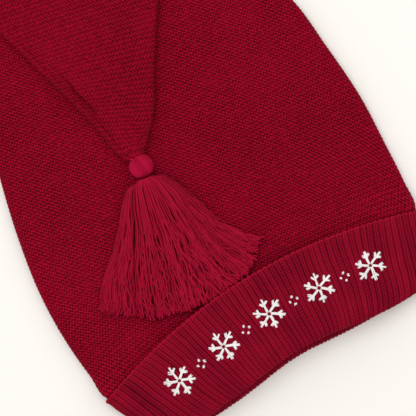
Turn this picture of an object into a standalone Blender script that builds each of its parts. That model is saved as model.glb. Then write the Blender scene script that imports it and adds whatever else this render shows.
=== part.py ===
"""A knitted stocking cap for an infant, laid flat on its back with its tip folded over the front.

It is made of four pieces: the knitted crown, which is one bag from the cuff to the tip, the rib cuff,
turned up once, and a tassel with a wound knob and a skirt of strands. +X is to the right of the
front, +Y runs from the brim to the top, and +Z is up from the surface that the cap lies on. The
origin is on that surface, under the middle of the cap. All sizes are in metres.
"""

import math
from collections import namedtuple

import bmesh
import bpy
import numpy as np

# Crown
BODY_WIDTH = 0.1804  # laid flat, at its widest
FLAT_LENGTH = 0.3265  # from the brim to the end of the tip, before the tip is folded over
KNIT_WALL = 0.0020
EDGE_RADIUS = 0.0034  # outside radius of the soft folds down both sides
PUFF = 0.0100  # how far the front swells above those side folds
FOLD_RADIUS = 0.0052  # of the bag's middle plane, where the tip turns over
FLAP_GAP = 0.0008  # under the folded tip
FLAP_SETTLE = 0.0200  # length over which the folded tip comes down on the front

# Crease beside the left edge of the folded tip
CREASE_INSET = 0.0056
CREASE_DEPTH = 0.0014
CREASE_HALF_WIDTH = 0.0016
LEDGE_DROP = 0.0012

# Cuff
CUFF_DEPTH = 0.0463  # at the top of its arch
CUFF_ARCH = 0.0173  # how far its upper edge drops in HALF_WIDTH from there
CUFF_TOP_SIDE = -0.0030  # the top of its arch, from the middle line of the cap
CUFF_OVERLAP = 0.0100  # of the turned-up leg over the crown
RIB_WALL = 0.0020
RIB_DEPTH = 0.0006
RIB_COUNT = 126
RIB_FAN = 0.10  # how much closer the ribs lie at the fold than at the upper edge
BRIM_ARCH = 0.0034  # how far the middle of the brim stands above its sides
BRIM_ARCH_WIDTH = 0.0250  # of that rise, to each side of the middle
MOUTH_RISE = 0.0036  # of the front fold of the cuff above the back one

# Tassel
KNOB_WIDTH = 0.0115
KNOB_LENGTH = 0.0114
SKIRT_LENGTH = 0.0645
SKIRT_WIDTH = 0.0850
SKIRT_HEIGHT = 0.0112  # at the shoulders
SKIRT_SIDE = 0.35  # height of the skirt's sides, as a share of its height in the middle
NECK_WIDTH = 0.0064
HEM_CURVE = 0.0145  # how much shorter the skirt reaches at its sides than in its middle
LOCK_COUNT = 17
LOCK_GROOVE = 0.30  # depth of the grooves between locks, as a share of the height there
LOCK_POINT = 0.0024  # how far a lock's end stands out from the grooves beside it
LOCK_VARIETY = 0.40  # how unlike the locks are, as a share of a lock's width and of LOCK_POINT
TASSEL_TURN = math.radians(10)  # from straight down, towards the left
TIP_SIDE = -0.0142  # the knob's middle, from the middle line of the cap
TIP_SIDE_UNFOLDED = 0.0130  # the same, before the tip is folded over

# Gaps between pieces
CLEARANCE = 0.0004
SEAM_GAP = 0.0005
SEAT_GAP = 0.0003
HEM_GAP = 0.0006  # between the tassel's hem and the cuff's edge

HALF_WIDTH = BODY_WIDTH / 2
SEAM_HEIGHT = CUFF_DEPTH - CUFF_OVERLAP  # of the crown's lower rim, in the middle
CUFF_STACK = RIB_WALL + CLEARANCE + 2 * RIB_DEPTH  # the crown's face to the cuff's rib crests
CUFF_TURN = (CUFF_STACK + RIB_WALL) / 2  # outside radius of the cuff's fold

# Lateral edges are shares of HALF_WIDTH, arch is a share of CUFF_ARCH, swells are shares of PUFF.
Row = namedtuple("Row", "height left right arch front_swell back_swell")
BAG = (
    Row(0.000, 0.750, 0.750, 0.00, 0.70, 0.00),
    Row(0.018, 0.800, 0.800, 0.15, 0.72, 0.00),
    Row(0.050, 0.858, 0.858, 0.45, 0.76, 0.00),
    Row(0.090, 0.931, 0.927, 0.85, 0.81, 0.00),
    Row(0.109, 0.968, 0.962, 1.00, 0.84, 0.00),
    Row(0.140, 0.981, 0.980, 0.85, 0.88, 0.00),
    Row(0.199, 0.992, 1.000, 0.50, 0.95, 0.00),
    Row(0.270, 0.979, 1.020, 0.25, 1.00, 0.00),
    Row(0.367, 0.915, 1.009, 0.07, 0.97, 0.00),
    Row(0.447, 0.837, 0.987, 0.00, 0.85, 0.00),
    Row(0.505, 0.771, 0.926, 0.00, 0.70, 0.00),
    Row(0.582, 0.665, 0.809, 0.00, 0.42, 0.00),
    Row(0.665, 0.539, 0.678, 0.00, 0.10, 0.00),
    Row(0.700, 0.479, 0.630, 0.00, 0.06, 0.06),
    Row(0.766, 0.362, 0.535, 0.00, 0.02, 0.26),
    Row(0.888, 0.129, 0.365, 0.00, 0.00, 0.24),
    Row(0.956, 0.008, 0.281, 0.00, 0.02, 0.14),
    Row(0.983, -0.026, 0.224, 0.00, 0.03, 0.06),
    Row(1.000, -0.052, 0.187, 0.00, 0.00, 0.00),
)

# Shares of the skirt's own length, of SKIRT_WIDTH / 2, and of SKIRT_HEIGHT.
Tier = namedtuple("Tier", "reach left right top underside")
SKIRT = (
    Tier(0.00, 0.075, 0.075, 0.72, 0.26),
    Tier(0.02, 0.215, 0.190, 0.88, 0.10),
    Tier(0.08, 0.305, 0.255, 1.00, 0.00),
    Tier(0.18, 0.400, 0.345, 1.00, 0.00),
    Tier(0.34, 0.505, 0.412, 0.86, 0.00),
    Tier(0.52, 0.660, 0.508, 0.72, 0.00),
    Tier(0.70, 0.837, 0.607, 0.60, 0.00),
    Tier(0.86, 0.945, 0.775, 0.50, 0.00),
    Tier(1.00, 1.000, 0.920, 0.42, 0.00),
)


def ease(share):
    """A smooth step from 0 to 1."""
    share = np.clip(share, 0, 1)
    return share * share * (3 - 2 * share)


def along_table(rows, key, column, at):
    """A table's column as one smooth curve over its key column."""
    xs = np.array([getattr(row, key) for row in rows])
    ys = np.array([getattr(row, column) for row in rows])
    slopes = np.gradient(ys, xs)
    at = np.clip(at, xs[0], xs[-1])
    i = np.clip(np.searchsorted(xs, at) - 1, 0, len(xs) - 2)
    step = xs[i + 1] - xs[i]
    t = (at - xs[i]) / step
    start = (1 + 2 * t) * (1 - t) ** 2 * ys[i] + t * (1 - t) ** 2 * step * slopes[i]
    end = t**2 * (3 - 2 * t) * ys[i + 1] - t**2 * (1 - t) * step * slopes[i + 1]
    return start + end


def bag(column, y):
    return along_table(BAG, "height", column, np.asarray(y) / FLAT_LENGTH)


def left_edge(y):
    return -HALF_WIDTH * bag("left", y)


def right_edge(y):
    return HALF_WIDTH * bag("right", y)


def dome(flat):
    """The swell across the bag: level in the middle, falling to nothing at the side folds."""
    return (1 - np.clip(flat, -1, 1) ** 4) ** 2


def bow(x):
    """How far an arched row has dropped at a place across the cap, as a share of its arch."""
    return ((x - CUFF_TOP_SIDE) / HALF_WIDTH) ** 2


def cuff_edge(x):
    """Height of the cuff's upper edge along the brim."""
    return CUFF_DEPTH - CUFF_ARCH * bow(x)


def floor_lift(x, y):
    """The back of the bag lies on the cuff, and comes down to the surface above it."""
    above = y - cuff_edge(x) - 0.3 * CUFF_STACK
    return CUFF_STACK * (1 - ease(above / (4 * CUFF_STACK)))


def front_height(x, y):
    """Height of the bag's front over a place on the surface that it lies on."""
    left, right = left_edge(y), right_edge(y)
    flat = (x - (left + right) / 2) / ((right - left) / 2 - EDGE_RADIUS)
    return floor_lift(x, y) + 2 * EDGE_RADIUS + PUFF * bag("front_swell", y) * dome(flat)


# The knob lies where the tassel's hem just clears the cuff. The fold line is then halfway between
# the knob's place on the unfolded bag and its place on the front, and square to the line between.
TASSEL_ALONG = np.array([-math.sin(TASSEL_TURN), -math.cos(TASSEL_TURN)])
TASSEL_ACROSS = np.array([-TASSEL_ALONG[1], TASSEL_ALONG[0]])
KNOB_TO_HEM = KNOB_LENGTH / 2 + SEAT_GAP + SKIRT_LENGTH
KNOB_PLACE = np.array([TIP_SIDE, CUFF_DEPTH + HEM_GAP - KNOB_TO_HEM * TASSEL_ALONG[1]])
KNOB_UNFOLDED = np.array([TIP_SIDE_UNFOLDED, FLAT_LENGTH + SEAT_GAP + KNOB_LENGTH / 2])
FOLD_PLACE = (KNOB_PLACE + KNOB_UNFOLDED) / 2
FOLD_NORMAL = (KNOB_UNFOLDED - KNOB_PLACE) / np.linalg.norm(KNOB_UNFOLDED - KNOB_PLACE)
FOLD_LINE = np.array([FOLD_NORMAL[1], -FOLD_NORMAL[0]])
FOLD_SLANT = FOLD_LINE[1] / FOLD_LINE[0]
HALF_TURN = FOLD_RADIUS * math.pi / 2  # half of the length that the fold takes up


def laid(x, y, offset):
    """Where a point of the unfolded bag lies. Its offset is from the middle plane, to the front."""
    aside = np.stack([x - FOLD_PLACE[0], y - FOLD_PLACE[1]], -1)
    past = aside @ FOLD_NORMAL
    along = aside @ FOLD_LINE
    turn = np.clip((past + HALF_TURN) / FOLD_RADIUS, 0, math.pi)
    before = np.minimum(past + HALF_TURN, 0)
    beyond = np.maximum(past - HALF_TURN, 0)
    out = before - HALF_TURN + FOLD_RADIUS * np.sin(turn) - beyond
    middle = floor_lift(x, y) + EDGE_RADIUS + FOLD_RADIUS * (1 - np.cos(turn))
    plan = FOLD_PLACE + along[..., None] * FOLD_LINE + out[..., None] * FOLD_NORMAL
    resting = front_height(plan[..., 0], plan[..., 1]) + FLAP_GAP + EDGE_RADIUS
    middle = middle + (resting - middle) * ease(beyond / FLAP_SETTLE)
    plan = plan - (offset * np.sin(turn))[..., None] * FOLD_NORMAL
    return np.concatenate([plan, (middle + offset * np.cos(turn))[..., None]], -1)


def crease(x, y, left):
    """How far the upper face of the folded tip drops along its left edge."""
    inset = x - left - CREASE_INSET
    groove = CREASE_DEPTH * np.exp(-((inset / CREASE_HALF_WIDTH) ** 2))
    ledge = LEDGE_DROP * ease(-inset / CREASE_HALF_WIDTH)
    past = (y - FOLD_PLACE[1]) / (FLAT_LENGTH - FOLD_PLACE[1])
    return (groove + ledge) * ease((past - 0.15) / 0.3) * ease((1 - past) / 0.12)


def brim_shift(x, half, front):
    """How far the brim's fold stands from straight across: arched, and higher in front."""
    arch = BRIM_ARCH * (1 - np.exp(-((x / BRIM_ARCH_WIDTH) ** 2)))
    return MOUTH_RISE * front * ease(1.6 * (1 - np.abs(x / half + 0.12))) - arch


def bag_ring(y, arch, slant, flats, turns, out=0.0, brim=0.0):
    """One ring round the bag: flats are places across it, and turns the directions that it faces.

    Out is a distance from the crown's face, and brim is how much the ring follows the brim's fold.
    """
    left, right = left_edge(y), right_edge(y)
    for _ in range(4):
        low = y - arch * bow(left) - slant * (right - left) / 2
        high = y - arch * bow(right) + slant * (right - left) / 2
        left, right = left_edge(low), right_edge(high)
    middle, half = (left + right) / 2, (right - left) / 2
    x = middle + flats * (half - EDGE_RADIUS) + (EDGE_RADIUS + out) * np.cos(turns)
    front = np.sin(turns) > 0
    ys = y + slant * (x - middle) - arch * bow(x) + brim * brim_shift(x, half, front)
    swell = PUFF * dome(flats) * np.where(front, bag("front_swell", ys), bag("back_swell", ys))
    swell = swell - np.where(front, 0, crease(x, ys, left)) * (np.abs(flats) < 1)
    offset = (EDGE_RADIUS + out) * np.sin(turns) + np.where(front, swell, -swell)
    return laid(x, ys, offset)


def crown_stations():
    """Places round the bag, closest at its side folds, from the front's right round to the right."""
    flats = np.array([1.0, 0.94, 0.86, 0.74, 0.56, 0.30, 0.0, -0.30, -0.56, -0.72, -0.80, -0.88, -0.94, -1.0])
    arc = np.radians([45, 90, 135])
    places = np.concatenate([flats, -np.ones(3), flats[::-1], np.ones(3)])
    turns = np.concatenate(
        [np.full(14, math.pi / 2), math.pi / 2 + arc, np.full(14, -math.pi / 2), arc - math.pi / 2]
    )
    return places, turns


def crown_heights():
    """(height, arch, slant) of each ring from the seam behind the cuff to the tip."""
    start = SEAM_HEIGHT
    turn_from = FOLD_PLACE[1] - HALF_TURN
    turn_to = FOLD_PLACE[1] + HALF_TURN
    rings = [(start + (turn_from - start) * s) for s in (0, 0.06, 0.12, 0.19, 0.28, 0.38, 0.48, 0.57, 0.66, 0.75, 0.84, 0.92)]
    rings += list(np.linspace(turn_from, turn_to, 8))
    rings += [turn_to + (FLAT_LENGTH - turn_to) * s for s in (0.12, 0.28, 0.46, 0.64, 0.80, 0.92, 1.0)]
    made = []
    for y in rings:
        near = ease(1 - abs(y - FOLD_PLACE[1]) / (6 * HALF_TURN)) if abs(y - FOLD_PLACE[1]) > HALF_TURN else 1
        arch = 1.0 if y == start else float(bag("arch", y))
        made.append((y, CUFF_ARCH * arch, FOLD_SLANT * near))
    return made


def loft(name, rings, first_closed=False, last_closed=False):
    """A surface through closed rings of equal counts, each end open or gathered to its middle."""
    mesh = bpy.data.meshes.new(name)
    shape = bmesh.new()
    verts = [[shape.verts.new(point) for point in ring] for ring in rings]
    count = len(verts[0])
    for low, high in zip(verts, verts[1:]):
        for i in range(count):
            j = (i + 1) % count
            shape.faces.new((low[i], low[j], high[j], high[i]))
    for closed, ring, step in ((first_closed, 0, -1), (last_closed, -1, 1)):
        if closed:
            middle = shape.verts.new(np.mean(rings[ring], axis=0))
            for i in range(count):
                pair = (verts[ring][i], verts[ring][(i + 1) % count])
                shape.faces.new((*pair[::step], middle))
    bmesh.ops.recalc_face_normals(shape, faces=shape.faces)
    shape.to_mesh(mesh)
    shape.free()
    mesh.shade_smooth()
    mesh.set_sharp_from_angle(angle=math.radians(50))
    made = bpy.data.objects.new(name, mesh)
    bpy.context.scene.collection.children[COLLECTION].objects.link(made)
    return made


def wall(made, thickness, even):
    """Gives an open surface its wall, inwards."""
    shell = made.modifiers.new("wall", "SOLIDIFY")
    shell.thickness = thickness
    shell.offset = -1
    shell.use_even_offset = even


def make_crown():
    flats, turns = crown_stations()
    rings = [bag_ring(y, arch, slant, flats, turns) for y, arch, slant in crown_heights()]
    crown = loft("crown", rings, last_closed=True)
    wall(crown, KNIT_WALL, even=True)
    return crown


def rim_stations(count, half_flat, radius):
    """Places round the bag at equal steps along its rim, from the front's right."""
    straight, bend = 2 * half_flat, math.pi * radius
    walk = (np.arange(count) + 0.5) / count * 2 * (straight + bend)
    flats = np.interp(
        walk,
        [0, straight, straight + bend, 2 * straight + bend, 2 * (straight + bend)],
        [1, -1, -1, 1, 1],
    )
    turns = np.interp(
        walk,
        [0, straight, straight + bend, 2 * straight + bend, 2 * (straight + bend)],
        np.radians([90, 90, 270, 270, 450]),
    )
    return flats, turns


def fanned(flats, reach):
    """Places across the cuff, drawn in towards its middle line near the fold."""
    return flats * (1 - RIB_FAN * (1 - reach)) + RIB_FAN * (1 - reach) * flats**7


def cuff_path(sink):
    """(reach, place, out) down the turned-up leg, round the fold and up the inner leg.

    Reach is the share of the way up a leg, place the distance above the fold, and out the distance
    from the crown's face. Sink is the depth of the groove between ribs.
    """
    crest, inside = CUFF_STACK - sink, -RIB_WALL + sink
    middle, radius = (crest + inside) / 2, (crest - inside) / 2
    path = [(1.0, 0.0, crest), (0.5, 0.0, crest), (0.12, 0.0, crest)]
    for angle in np.radians([30, 90, 150]):
        path.append((0.0, CUFF_TURN - radius * math.sin(angle), middle + radius * math.cos(angle)))
    path.append((1.0, 0.0, inside))
    return path


def cuff_ring(row):
    """One ring of the cuff through all its ribs: even places are crests and odd ones grooves."""
    points = np.empty((2 * RIB_COUNT, 3))
    for kind, sink in enumerate((0.0, RIB_DEPTH)):
        reach, place, out = cuff_path(sink)[row]
        top = CUFF_DEPTH if row < 3 else SEAM_HEIGHT - SEAM_GAP
        y = CUFF_TURN + reach * (top - CUFF_TURN) if reach else place
        half = (right_edge(y) - left_edge(y)) / 2
        flats, turns = rim_stations(2 * RIB_COUNT, half - EDGE_RADIUS, EDGE_RADIUS + out)
        flats = fanned(flats, reach)
        ring = bag_ring(y, CUFF_ARCH * reach, 0.0, flats[kind::2], turns[kind::2], out, 1 - reach)
        points[kind::2] = ring
    return points


def make_cuff():
    rings = [cuff_ring(row) for row in range(len(cuff_path(0.0)))]
    cuff = loft("cuff", rings)
    wall(cuff, RIB_WALL, even=False)
    return cuff


def make_knob():
    bpy.ops.mesh.primitive_uv_sphere_add(segments=16, ring_count=10, radius=0.5)
    knob = bpy.context.object
    knob.name = knob.data.name = "tassel_knob"
    for owner in knob.users_collection:
        owner.objects.unlink(knob)
    bpy.context.scene.collection.children[COLLECTION].objects.link(knob)
    height = 0.94 * KNOB_WIDTH
    rest = float(front_height(*KNOB_PLACE))
    knob.location = (*KNOB_PLACE, rest + SEAT_GAP + height / 2)
    knob.scale = (KNOB_WIDTH, KNOB_LENGTH, height)
    knob.rotation_euler = (0, 0, -TASSEL_TURN)
    knob.data.shade_smooth()
    return knob


def skirt_ring(tier):
    """One ring round the skirt: over the locks from left to right, and back underneath."""
    place = np.arange(2 * LOCK_COUNT + 1)
    groove = place % 2 == 0
    unlike = LOCK_VARIETY * np.sin(2.4 * place) * (1 - (place / LOCK_COUNT - 1) ** 4)
    across = (place + unlike) / LOCK_COUNT - 1
    reach = SKIRT_LENGTH - HEM_CURVE * across**2
    reach = tier.reach * reach - LOCK_POINT * (groove + 0.5 * unlike) * tier.reach**3
    start = KNOB_PLACE + TASSEL_ALONG * (KNOB_LENGTH / 2 + SEAT_GAP)
    side = across * np.where(across < 0, tier.left, tier.right) * SKIRT_WIDTH / 2
    plan = start + reach[:, None] * TASSEL_ALONG + side[:, None] * TASSEL_ACROSS
    rest = front_height(plan[:, 0], plan[:, 1]) + CLEARANCE
    thick = (tier.top - tier.underside) * SKIRT_HEIGHT
    round_top = SKIRT_SIDE + (1 - SKIRT_SIDE) * np.sqrt(1 - across**2)
    thick = thick * round_top * (1 - LOCK_GROOVE * groove)
    low = rest + tier.underside * SKIRT_HEIGHT
    over = np.column_stack([plan, low + thick])
    under = np.column_stack([plan, low])
    return np.concatenate([over, under[::-1]])


def make_skirt():
    return loft("tassel_skirt", [skirt_ring(tier) for tier in SKIRT], first_closed=True, last_closed=True)


def yarn(name, colour, roughness):
    material = bpy.data.materials.new(name)
    material.use_nodes = True
    shader = material.node_tree.nodes["Principled BSDF"]
    shader.inputs["Base Color"].default_value = (*colour, 1)
    shader.inputs["Roughness"].default_value = roughness
    shader.inputs["Metallic"].default_value = 0
    return material


def centre(pieces):
    """Parents the pieces to an empty, placed so that the origin is under the middle of the cap."""
    bpy.context.view_layer.update()
    graph = bpy.context.evaluated_depsgraph_get()
    corners = []
    for piece in pieces:
        seen = piece.evaluated_get(graph)
        mesh = seen.to_mesh()
        corners += [seen.matrix_world @ vertex.co for vertex in mesh.vertices]
        seen.to_mesh_clear()
    corners = np.array(corners)
    low, high = corners.min(0), corners.max(0)
    carrier = bpy.data.objects.new("cap_origin", None)
    bpy.context.scene.collection.children[COLLECTION].objects.link(carrier)
    carrier.location = (-(low[0] + high[0]) / 2, -(low[1] + high[1]) / 2, -low[2])
    for piece in pieces:
        piece.parent = carrier


COLLECTION = "stocking_cap"
for old in list(bpy.data.objects):
    bpy.data.objects.remove(old)
bpy.context.scene.collection.children.link(bpy.data.collections.new(COLLECTION))

cap = {
    make_crown(): yarn("moss_knit", (0.20, 0.003, 0.014), 0.85),
    make_cuff(): yarn("rib_knit", (0.20, 0.004, 0.016), 0.85),
    make_knob(): yarn("wound_thread", (0.33, 0.004, 0.028), 0.7),
    make_skirt(): yarn("tassel_thread", (0.25, 0.004, 0.018), 0.75),
}
for piece, material in cap.items():
    piece.data.materials.append(material)
centre(cap)
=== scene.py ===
import math
from collections import namedtuple

import bpy
import numpy as np
from mathutils import Matrix, Vector


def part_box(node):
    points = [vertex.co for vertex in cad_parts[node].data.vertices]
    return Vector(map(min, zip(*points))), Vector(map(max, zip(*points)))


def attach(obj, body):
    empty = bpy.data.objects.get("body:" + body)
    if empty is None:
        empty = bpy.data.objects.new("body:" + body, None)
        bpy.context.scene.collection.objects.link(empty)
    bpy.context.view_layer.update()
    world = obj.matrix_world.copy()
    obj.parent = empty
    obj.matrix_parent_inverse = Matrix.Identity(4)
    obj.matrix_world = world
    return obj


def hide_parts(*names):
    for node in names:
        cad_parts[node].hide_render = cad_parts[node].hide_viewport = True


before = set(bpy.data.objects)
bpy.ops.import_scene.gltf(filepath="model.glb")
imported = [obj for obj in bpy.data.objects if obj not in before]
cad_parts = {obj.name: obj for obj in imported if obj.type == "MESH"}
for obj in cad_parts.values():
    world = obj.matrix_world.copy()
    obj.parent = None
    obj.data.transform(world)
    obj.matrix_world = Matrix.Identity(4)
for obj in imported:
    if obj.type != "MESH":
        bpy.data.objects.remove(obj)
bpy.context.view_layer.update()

bl_info = {
    "name": "Knitted Stocking Cap",
    "version": (1, 0, 0),
    "blender": (4, 5, 0),
    "location": "View3D > Sidebar > Stocking Cap",
    "description": "Knits a tasselled stocking cap that lies flat with its tip folded over",
    "category": "Object",
}

TAU = 2 * math.pi

# A smooth change from 0 to 1: where it starts, and over what length it runs.
Rise = namedtuple("Rise", "start run")

# The cap's own sizes as it lies flat on its back, in metres apart from a few counts and shares. Its
# middle line is x = 0, the middle of its brim is y = 0, and the surface that it lies on is z = 0.
HALF_WIDTH = 0.0902
FLAT_LENGTH = 0.3265
KNIT_WALL = 0.0020
EDGE_RADIUS = 0.0034
PUFF = 0.0100
FOLD_RADIUS = 0.0052
FLAP_GAP = 0.0008
FLAP_SETTLE = 0.0200
CREASE_INSET = 0.0071
CREASE_TAPER = 0.0030
CREASE_DEPTH = 0.0030
CREASE_HALF_WIDTH = 0.0007
LEDGE_DROP = 0.0006
SLOW_RIPPLE = 0.00042
QUICK_RIPPLE = 0.00016
BACK_RIPPLE = 0.6
BACK_RIPPLE_STARTS = Rise(0.02, 0.03)
MOSS_RELIEF = 0.00010
TIP_GATHER = Rise(FLAT_LENGTH - 0.004, 0.004)
TIP_SHIFT = np.array([0.0, -0.0015, 0.0018])

# Where the tip's crease changes, as shares of the way from the fold to the tip's end. Its columns of
# mesh are at shares of the way from the middle to the side.
CREASE_STARTS = Rise(0.48, 0.15)
CREASE_FADES = Rise(0.70, 0.10)
CREASE_FADED = 0.85
CREASE_TURNS = Rise(0.62, 0.28)
CREASE_END = 0.12
CREASE_COLUMNS = (-0.985, -0.88)
LEDGE_STARTS = Rise(0.15, 0.3)

# The bag dips under the cuff's upper edge, and fills the cuff at both its ends.
DIP_DEPTH = 0.0012
DIP_WIDTH = 0.0050
FILL_HEIGHT = 0.0013
FILL_STARTS = Rise(-0.0053, 0.0030)
FILL_CREST = -0.0018
FILL_WIDTH = 0.0040

CUFF_DEPTH = 0.0463
CUFF_ARCH = 0.0173
CUFF_TOP_SIDE = -0.0030
CUFF_OVERLAP = 0.0100
RIB_WALL = 0.0020
RIB_DEPTH = 0.0006
RIB_COUNT = 126
RIB_FAN = 0.10
BRIM_ARCH = 0.0034
BRIM_ARCH_WIDTH = 0.0250
MOUTH_RISE = 0.0036
MOUTH_FULLNESS = 1.6
MOUTH_ASIDE = 0.12
CLEARANCE = 0.0004
SEAM_GAP = 0.0005
SEAM_HEIGHT = CUFF_DEPTH - CUFF_OVERLAP
RIM_SCALLOP = 0.00022
RIM_SCALLOP_REACH = Rise(0.9, 0.1)
RIM_ROLL = 0.0004
RIM_ROLL_PLACE = 0.0016
RIM_ROLL_WIDTH = 0.0012
RIM_ROUND = 0.0007
RIM_ROUND_WIDTH = 0.0003
RIM_FLAT_RIBS = 0.0090
RIM_RAISE = 0.0012
RIM_RAISE_REACH = Rise(0.72, 0.28)
RIM_CORNER_DROP = 0.6
RIM_RIB_DEPTH = 0.45
RIB_SWAY = 0.0003
CUFF_STACK = RIB_WALL + CLEARANCE + 2 * RIB_DEPTH
CUFF_TURN = (CUFF_STACK + RIB_WALL) / 2
BACK_SETTLES = Rise(0.3 * CUFF_STACK, 4 * CUFF_STACK)

KNOB_WIDTH = 0.0115
KNOB_LENGTH = 0.0114
KNOB_THREADS = 30
KNOB_GROOVE = 0.055
SKIRT_LENGTH = 0.0645
SKIRT_WIDTH = 0.0850
SKIRT_HEIGHT = 0.0112
SKIRT_SIDE = 0.35
LOCKS = 21
HEM_CURVE = 0.0145
TASSEL_TURN = math.radians(10)
TIP_SIDE = -0.0142
TIP_SIDE_UNFOLDED = 0.0130
SEAT_GAP = 0.0003
HEM_GAP = 0.0006
TIE_PLACE = KNOB_LENGTH / 2 + 0.0012
TIE_ASIDE = 0.0012
TIE_RADIUS = 0.0040
TIE_WIDTH = 0.0015
TIE_TURNS = 2.2
TIE_THREAD = 0.00042
LOOSE_THREAD = 0.00036
THREAD_TWIST = 420.0

# Lateral edges are shares of HALF_WIDTH, arch is a share of CUFF_ARCH, swells are shares of PUFF.
Row = namedtuple("Row", "height left right arch front_swell back_swell")
BAG = (
    Row(0.000, 0.750, 0.750, 0.00, 0.70, 0.00),
    Row(0.018, 0.800, 0.800, 0.15, 0.72, 0.00),
    Row(0.050, 0.858, 0.858, 0.45, 0.76, 0.00),
    Row(0.090, 0.931, 0.927, 0.85, 0.81, 0.00),
    Row(0.109, 0.968, 0.962, 1.00, 0.84, 0.00),
    Row(0.140, 0.981, 0.980, 0.85, 0.88, 0.00),
    Row(0.199, 0.992, 1.000, 0.50, 0.95, 0.00),
    Row(0.270, 0.979, 1.020, 0.25, 1.00, 0.00),
    Row(0.367, 0.915, 1.009, 0.07, 0.97, 0.00),
    Row(0.447, 0.837, 0.987, 0.00, 0.85, 0.00),
    Row(0.505, 0.771, 0.926, 0.00, 0.70, 0.00),
    Row(0.582, 0.665, 0.809, 0.00, 0.42, 0.00),
    Row(0.665, 0.539, 0.678, 0.00, 0.10, 0.00),
    Row(0.700, 0.479, 0.630, 0.00, 0.06, 0.06),
    Row(0.766, 0.362, 0.535, 0.00, 0.02, 0.26),
    Row(0.888, 0.129, 0.365, 0.00, 0.00, 0.24),
    Row(0.956, 0.008, 0.281, 0.00, 0.02, 0.14),
    Row(0.983, -0.026, 0.224, 0.00, 0.03, 0.06),
    Row(1.000, -0.052, 0.187, 0.00, 0.00, 0.00),
)

# How far the rows of knitting arch, as shares of FLAT_LENGTH and of CUFF_ARCH.
Course = namedtuple("Course", "height arch")
COURSES = (
    Course(0.115, 1.00),
    Course(0.138, 0.80),
    Course(0.159, 0.61),
    Course(0.190, 0.48),
    Course(0.230, 0.38),
    Course(0.290, 0.28),
    Course(0.350, 0.17),
    Course(0.410, 0.08),
    Course(0.470, 0.00),
    Course(1.000, 0.00),
)

# Where along the cap its wales lean, fan out and close up, and its rows widen and slant.
WALE_LEAN = 0.087
WALES_LEAN_FROM = 0.06
WALES_LEAN_TO = 0.19
WALES_FAN = Rise(0.045, 0.04)
WALES_CLOSE = Rise(0.20, 0.04)
ROWS_WIDEN = Rise(0.20, 0.03)
TIP_SLANT = 0.26
TIP_SLANTS = Rise(0.262, 0.055)
TIP_SLANT_END = 0.014

# Shares of the skirt's own length, of SKIRT_WIDTH / 2, and of SKIRT_HEIGHT.
Tier = namedtuple("Tier", "reach left right top")
SKIRT = (
    Tier(0.00, 0.075, 0.075, 0.72),
    Tier(0.02, 0.215, 0.190, 0.88),
    Tier(0.08, 0.305, 0.255, 1.00),
    Tier(0.18, 0.400, 0.345, 1.00),
    Tier(0.34, 0.505, 0.412, 0.86),
    Tier(0.52, 0.660, 0.508, 0.72),
    Tier(0.70, 0.837, 0.607, 0.60),
    Tier(0.86, 0.945, 0.775, 0.50),
    Tier(1.00, 1.000, 0.920, 0.42),
)

# How the strands lie and stray, in metres. A strand's aim is where it ends, as a share of the way from
# the skirt's middle to its side, and the other shares are of its length.
STRAND_STEPS = 34
AIM_PULL = (0.2, 0.9)
AIM_SPREAD = 0.022
STRAND_REST = 0.0009
STRAND_STRAY = 0.0011
STRAND_CURL = 0.0019
CURL_SHORTENS = 0.0013
CURL_STARTS = Rise(0.86, 0.14)
FRAY_STARTS = Rise(0.93, 0.03)
HEM_MEAN = 0.0005
HEM_SPREAD = 0.0007
HEM_CORNER = 0.0030
HEM_CORNER_STARTS = Rise(0.75, 0.25)
HEM_LIFT = 0.0010
NECK_LIFT = 0.0050
NECK_RUN = 0.05
SKIRT_INSET = 0.0022
SKIRT_LEAST = 0.0006
STRAND_BLUNT = 0.0002

# The tie's loose end, from the knob's middle: across the tassel, back along it, and upwards.
Bend = namedtuple("Bend", "across back over")
LOOSE_END = (
    Bend(-0.0036, 0.0047, 0.0034),
    Bend(-0.0031, 0.0046, 0.0045),
    Bend(-0.0025, 0.0042, 0.0047),
    Bend(-0.0019, 0.0036, 0.0042),
)

# The stitched ornament. Its row is a share of the cuff's height, and its twigs are shares of an arm.
ORNAMENT_ROW = 0.49
TWIG_PLACE = 0.55
TWIG_LENGTH = 0.34
TWIG_ANGLE = 0.85
FLAKE_HOLE = 0.0005
RUNNING_STITCH = (0.0011, 0.0027)
STITCH_DIP = 0.0011
STITCH_DIP_RUN = 0.0009
STITCH_BEND = 0.00025

# The camera's sideways direction and the middle of its picture, in the cap's own plan.
VIEW_RIGHT = (0.848, -0.530)
VIEW_MIDDLE = (0.0020, 0.0832)

# The lights, from the middle of the picture. Their power is a share of the key light's.
Lamp = namedtuple("Lamp", "name right up height size power")
LAMPS = (
    Lamp("key", -0.28, 0.22, 1.2, 0.8, 1.00),
    Lamp("fill", 0.30, 0.10, 1.1, 1.1, 0.35),
)


# Sizes and colours that a user would change

def length(name, description, default):
    return bpy.props.FloatProperty(
        name=name, description=description, default=default, min=0, unit="LENGTH", precision=5
    )


def colour(name, description, default):
    return bpy.props.FloatVectorProperty(
        name=name, description=description, default=default, size=3, min=0, max=1, subtype="COLOR"
    )


class KnitSettings(bpy.types.PropertyGroup):
    """Stitches and colours of the crown and the cuff."""

    stitch_width: length("Stitch width", "Two wales of the moss stitch", 0.00182)
    stitch_height: length("Stitch height", "Two rows of the moss stitch", 0.00190)
    rib_stitch: length("Rib stitch", "One stitch along a rib", 0.00150)
    crown_colour: colour("Crown colour", "Yarn of the crown", (0.292, 0.0010, 0.0165))
    cuff_colour: colour("Cuff colour", "Yarn of the cuff", (0.235, 0.0011, 0.0155))


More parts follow.
